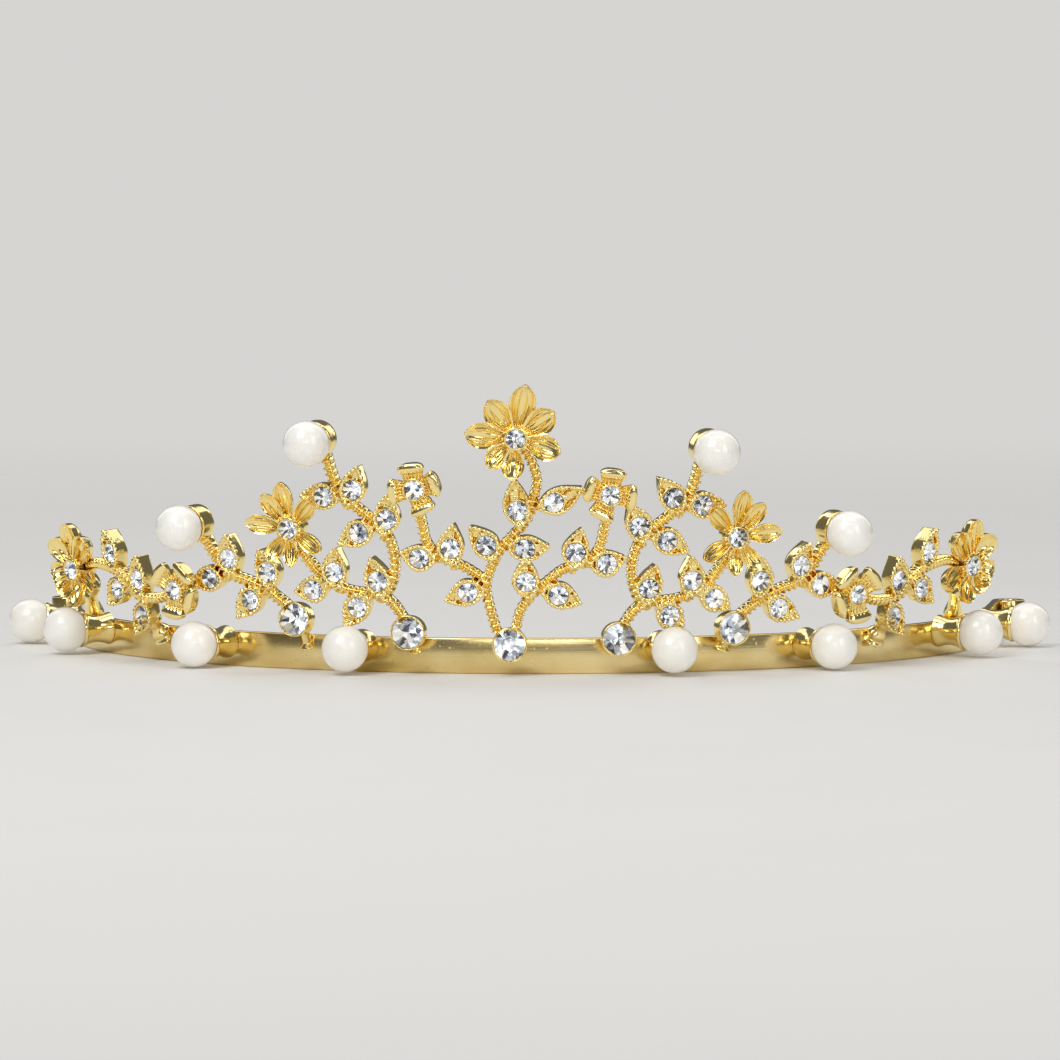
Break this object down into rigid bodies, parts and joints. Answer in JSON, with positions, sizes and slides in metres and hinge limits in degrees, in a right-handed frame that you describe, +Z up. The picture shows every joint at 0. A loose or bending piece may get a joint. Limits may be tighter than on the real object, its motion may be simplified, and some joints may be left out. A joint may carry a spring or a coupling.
{
  "type": "bridal tiara",
  "caption": "Gilt bridal tiara: open headband carrying a cast vine lattice of leaves and flowers, set with clear rhinestones and pearls.",
  "frame": {"origin": "centre of the headband's front arc, in the plane of the band's lower edge", "axes": "+Z up, the front of the tiara towards -Y, +X to the right as seen by someone facing it"},
  "size_m": [0.1416, 0.0883, 0.0378],
  "materials": {
    "band_gilt": "satin",
    "cast_gilt": "polished",
    "pearl": "gloss",
    "rhinestone": "gloss"
  },
  "bodies": {
    "root": {"centre_daisy": "cast_gilt", "centre_spray": "cast_gilt", "crystal_centre": "rhinestone", "crystal_inner_left": "rhinestone", "crystal_inner_right": "rhinestone", "crystal_outer_left": "rhinestone", "crystal_outer_right": "rhinestone", "end_daisy_left": "cast_gilt", "end_daisy_right": "cast_gilt", "end_spray_left": "cast_gilt", "end_spray_right": "cast_gilt", "headband": "band_gilt", "inner_spray_left": "cast_gilt", "inner_spray_right": "cast_gilt", "leaf_stones_centre": "rhinestone", "leaf_stones_end_left": "rhinestone", "leaf_stones_end_right": "rhinestone", "leaf_stones_inner_left": "rhinestone", "leaf_stones_inner_right": "rhinestone", "leaf_stones_outer_left": "rhinestone", "leaf_stones_outer_right": "rhinestone", "outer_blossom_left": "cast_gilt", "outer_blossom_right": "cast_gilt", "outer_spray_left": "cast_gilt", "outer_spray_right": "cast_gilt", "pearl_cup_first_left": "cast_gilt", "pearl_cup_first_right": "cast_gilt", "pearl_cup_fourth_left": "cast_gilt", "pearl_cup_fourth_right": "cast_gilt", "pearl_cup_second_left": "cast_gilt", "pearl_cup_second_right": "cast_gilt", "pearl_cup_third_left": "cast_gilt", "pearl_cup_third_right": "cast_gilt", "pearl_first_left": "pearl", "pearl_first_right": "pearl", "pearl_fourth_left": "pearl", "pearl_fourth_right": "pearl", "pearl_second_left": "pearl", "pearl_second_right": "pearl", "pearl_third_left": "pearl", "pearl_third_right": "pearl", "pearl_upper_inner_left": "pearl", "pearl_upper_inner_right": "pearl", "pearl_upper_outer_left": "pearl", "pearl_upper_outer_right": "pearl", "side_daisy_left": "cast_gilt", "side_daisy_right": "cast_gilt", "small_blossom_left": "cast_gilt", "small_blossom_right": "cast_gilt", "stone_centre_daisy": "rhinestone", "stone_end_daisy_left": "rhinestone", "stone_end_daisy_right": "rhinestone", "stone_outer_blossom_left": "rhinestone", "stone_outer_blossom_right": "rhinestone", "stone_side_daisy_left": "rhinestone", "stone_side_daisy_right": "rhinestone", "stone_small_blossom_left": "rhinestone", "stone_small_blossom_right": "rhinestone"}
  },
  "joints": []
}
